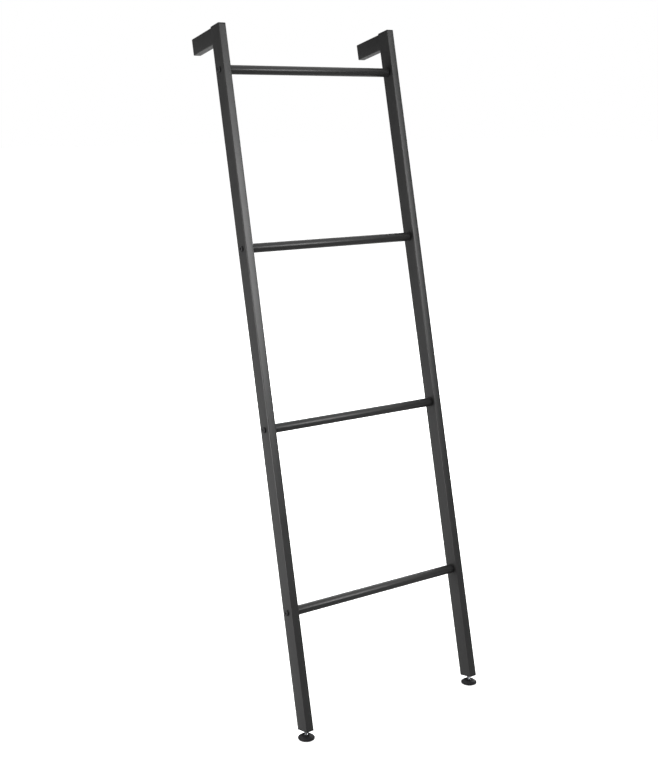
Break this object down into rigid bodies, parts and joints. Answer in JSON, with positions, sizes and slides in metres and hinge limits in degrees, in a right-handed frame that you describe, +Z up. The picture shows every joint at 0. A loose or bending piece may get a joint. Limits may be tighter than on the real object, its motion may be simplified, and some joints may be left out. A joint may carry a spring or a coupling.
{
  "type": "leaning ladder rack",
  "caption": "Leaning ladder rack: rectangular tube rails with round rungs bolted between them, arms to the wall behind their tops, and swivelling levelling feet.",
  "frame": {"origin": "on the floor, under the middle of the whole rack's box", "axes": "+Z up, +Y towards the wall that the rack leans on, +X to the right for someone facing the rack and the wall"},
  "size_m": [0.529, 0.5088, 1.6362],
  "materials": {
    "powder_coat": "fine-textured satin black powder coat",
    "cap_plastic": "moulded black plastic",
    "bolt_black": "black-coated steel bolt",
    "bare_steel": "turned steel",
    "zinc_plate": "bright zinc plate",
    "pad_plastic": "moulded black plastic",
    "sole_rubber": "matt black rubber"
  },
  "bodies": {
    "ladder": {"left_rail": "powder_coat", "left_arm": "powder_coat", "left_top_cap": "cap_plastic", "left_wall_cap": "cap_plastic", "left_bottom_plug": "cap_plastic", "left_foot_bushing": "bare_steel", "right_rail": "powder_coat", "right_arm": "powder_coat", "right_top_cap": "cap_plastic", "right_wall_cap": "cap_plastic", "right_bottom_plug": "cap_plastic", "right_foot_bushing": "bare_steel", "rung_1": "powder_coat", "rung_1_left_insert": "bare_steel", "rung_1_left_bolt": "bolt_black", "rung_1_right_insert": "bare_steel", "rung_1_right_bolt": "bolt_black", "rung_2": "powder_coat", "rung_2_left_insert": "bare_steel", "rung_2_left_bolt": "bolt_black", "rung_2_right_insert": "bare_steel", "rung_2_right_bolt": "bolt_black", "rung_3": "powder_coat", "rung_3_left_insert": "bare_steel", "rung_3_left_bolt": "bolt_black", "rung_3_right_insert": "bare_steel", "rung_3_right_bolt": "bolt_black", "rung_4": "powder_coat", "rung_4_left_insert": "bare_steel", "rung_4_left_bolt": "bolt_black", "rung_4_right_insert": "bare_steel", "rung_4_right_bolt": "bolt_black"},
    "left_stud": {"left_foot_stud": "zinc_plate"},
    "left_pad": {"left_foot_pad": "pad_plastic", "left_foot_sole": "sole_rubber"},
    "right_stud": {"right_foot_stud": "zinc_plate"},
    "right_pad": {"right_foot_pad": "pad_plastic", "right_foot_sole": "sole_rubber"}
  },
  "joints": [
    {"name": "left_foot_height", "type": "slide", "parent": "ladder", "child": "left_stud", "axis": [0, -0.225, -0.9744], "range_m": [0, 0.012]},
    {"name": "left_pad_tilt", "type": "hinge", "parent": "left_stud", "child": "left_pad", "pos_m": [-0.245, -0.23485, 0.008], "axis": [1, 0, 0], "range_deg": [-33, 7]},
    {"name": "right_foot_height", "type": "slide", "parent": "ladder", "child": "right_stud", "axis": [0, -0.225, -0.9744], "range_m": [0, 0.012]},
    {"name": "right_pad_tilt", "type": "hinge", "parent": "right_stud", "child": "right_pad", "pos_m": [0.245, -0.23485, 0.008], "axis": [1, 0, 0], "range_deg": [-33, 7]}
  ]
}
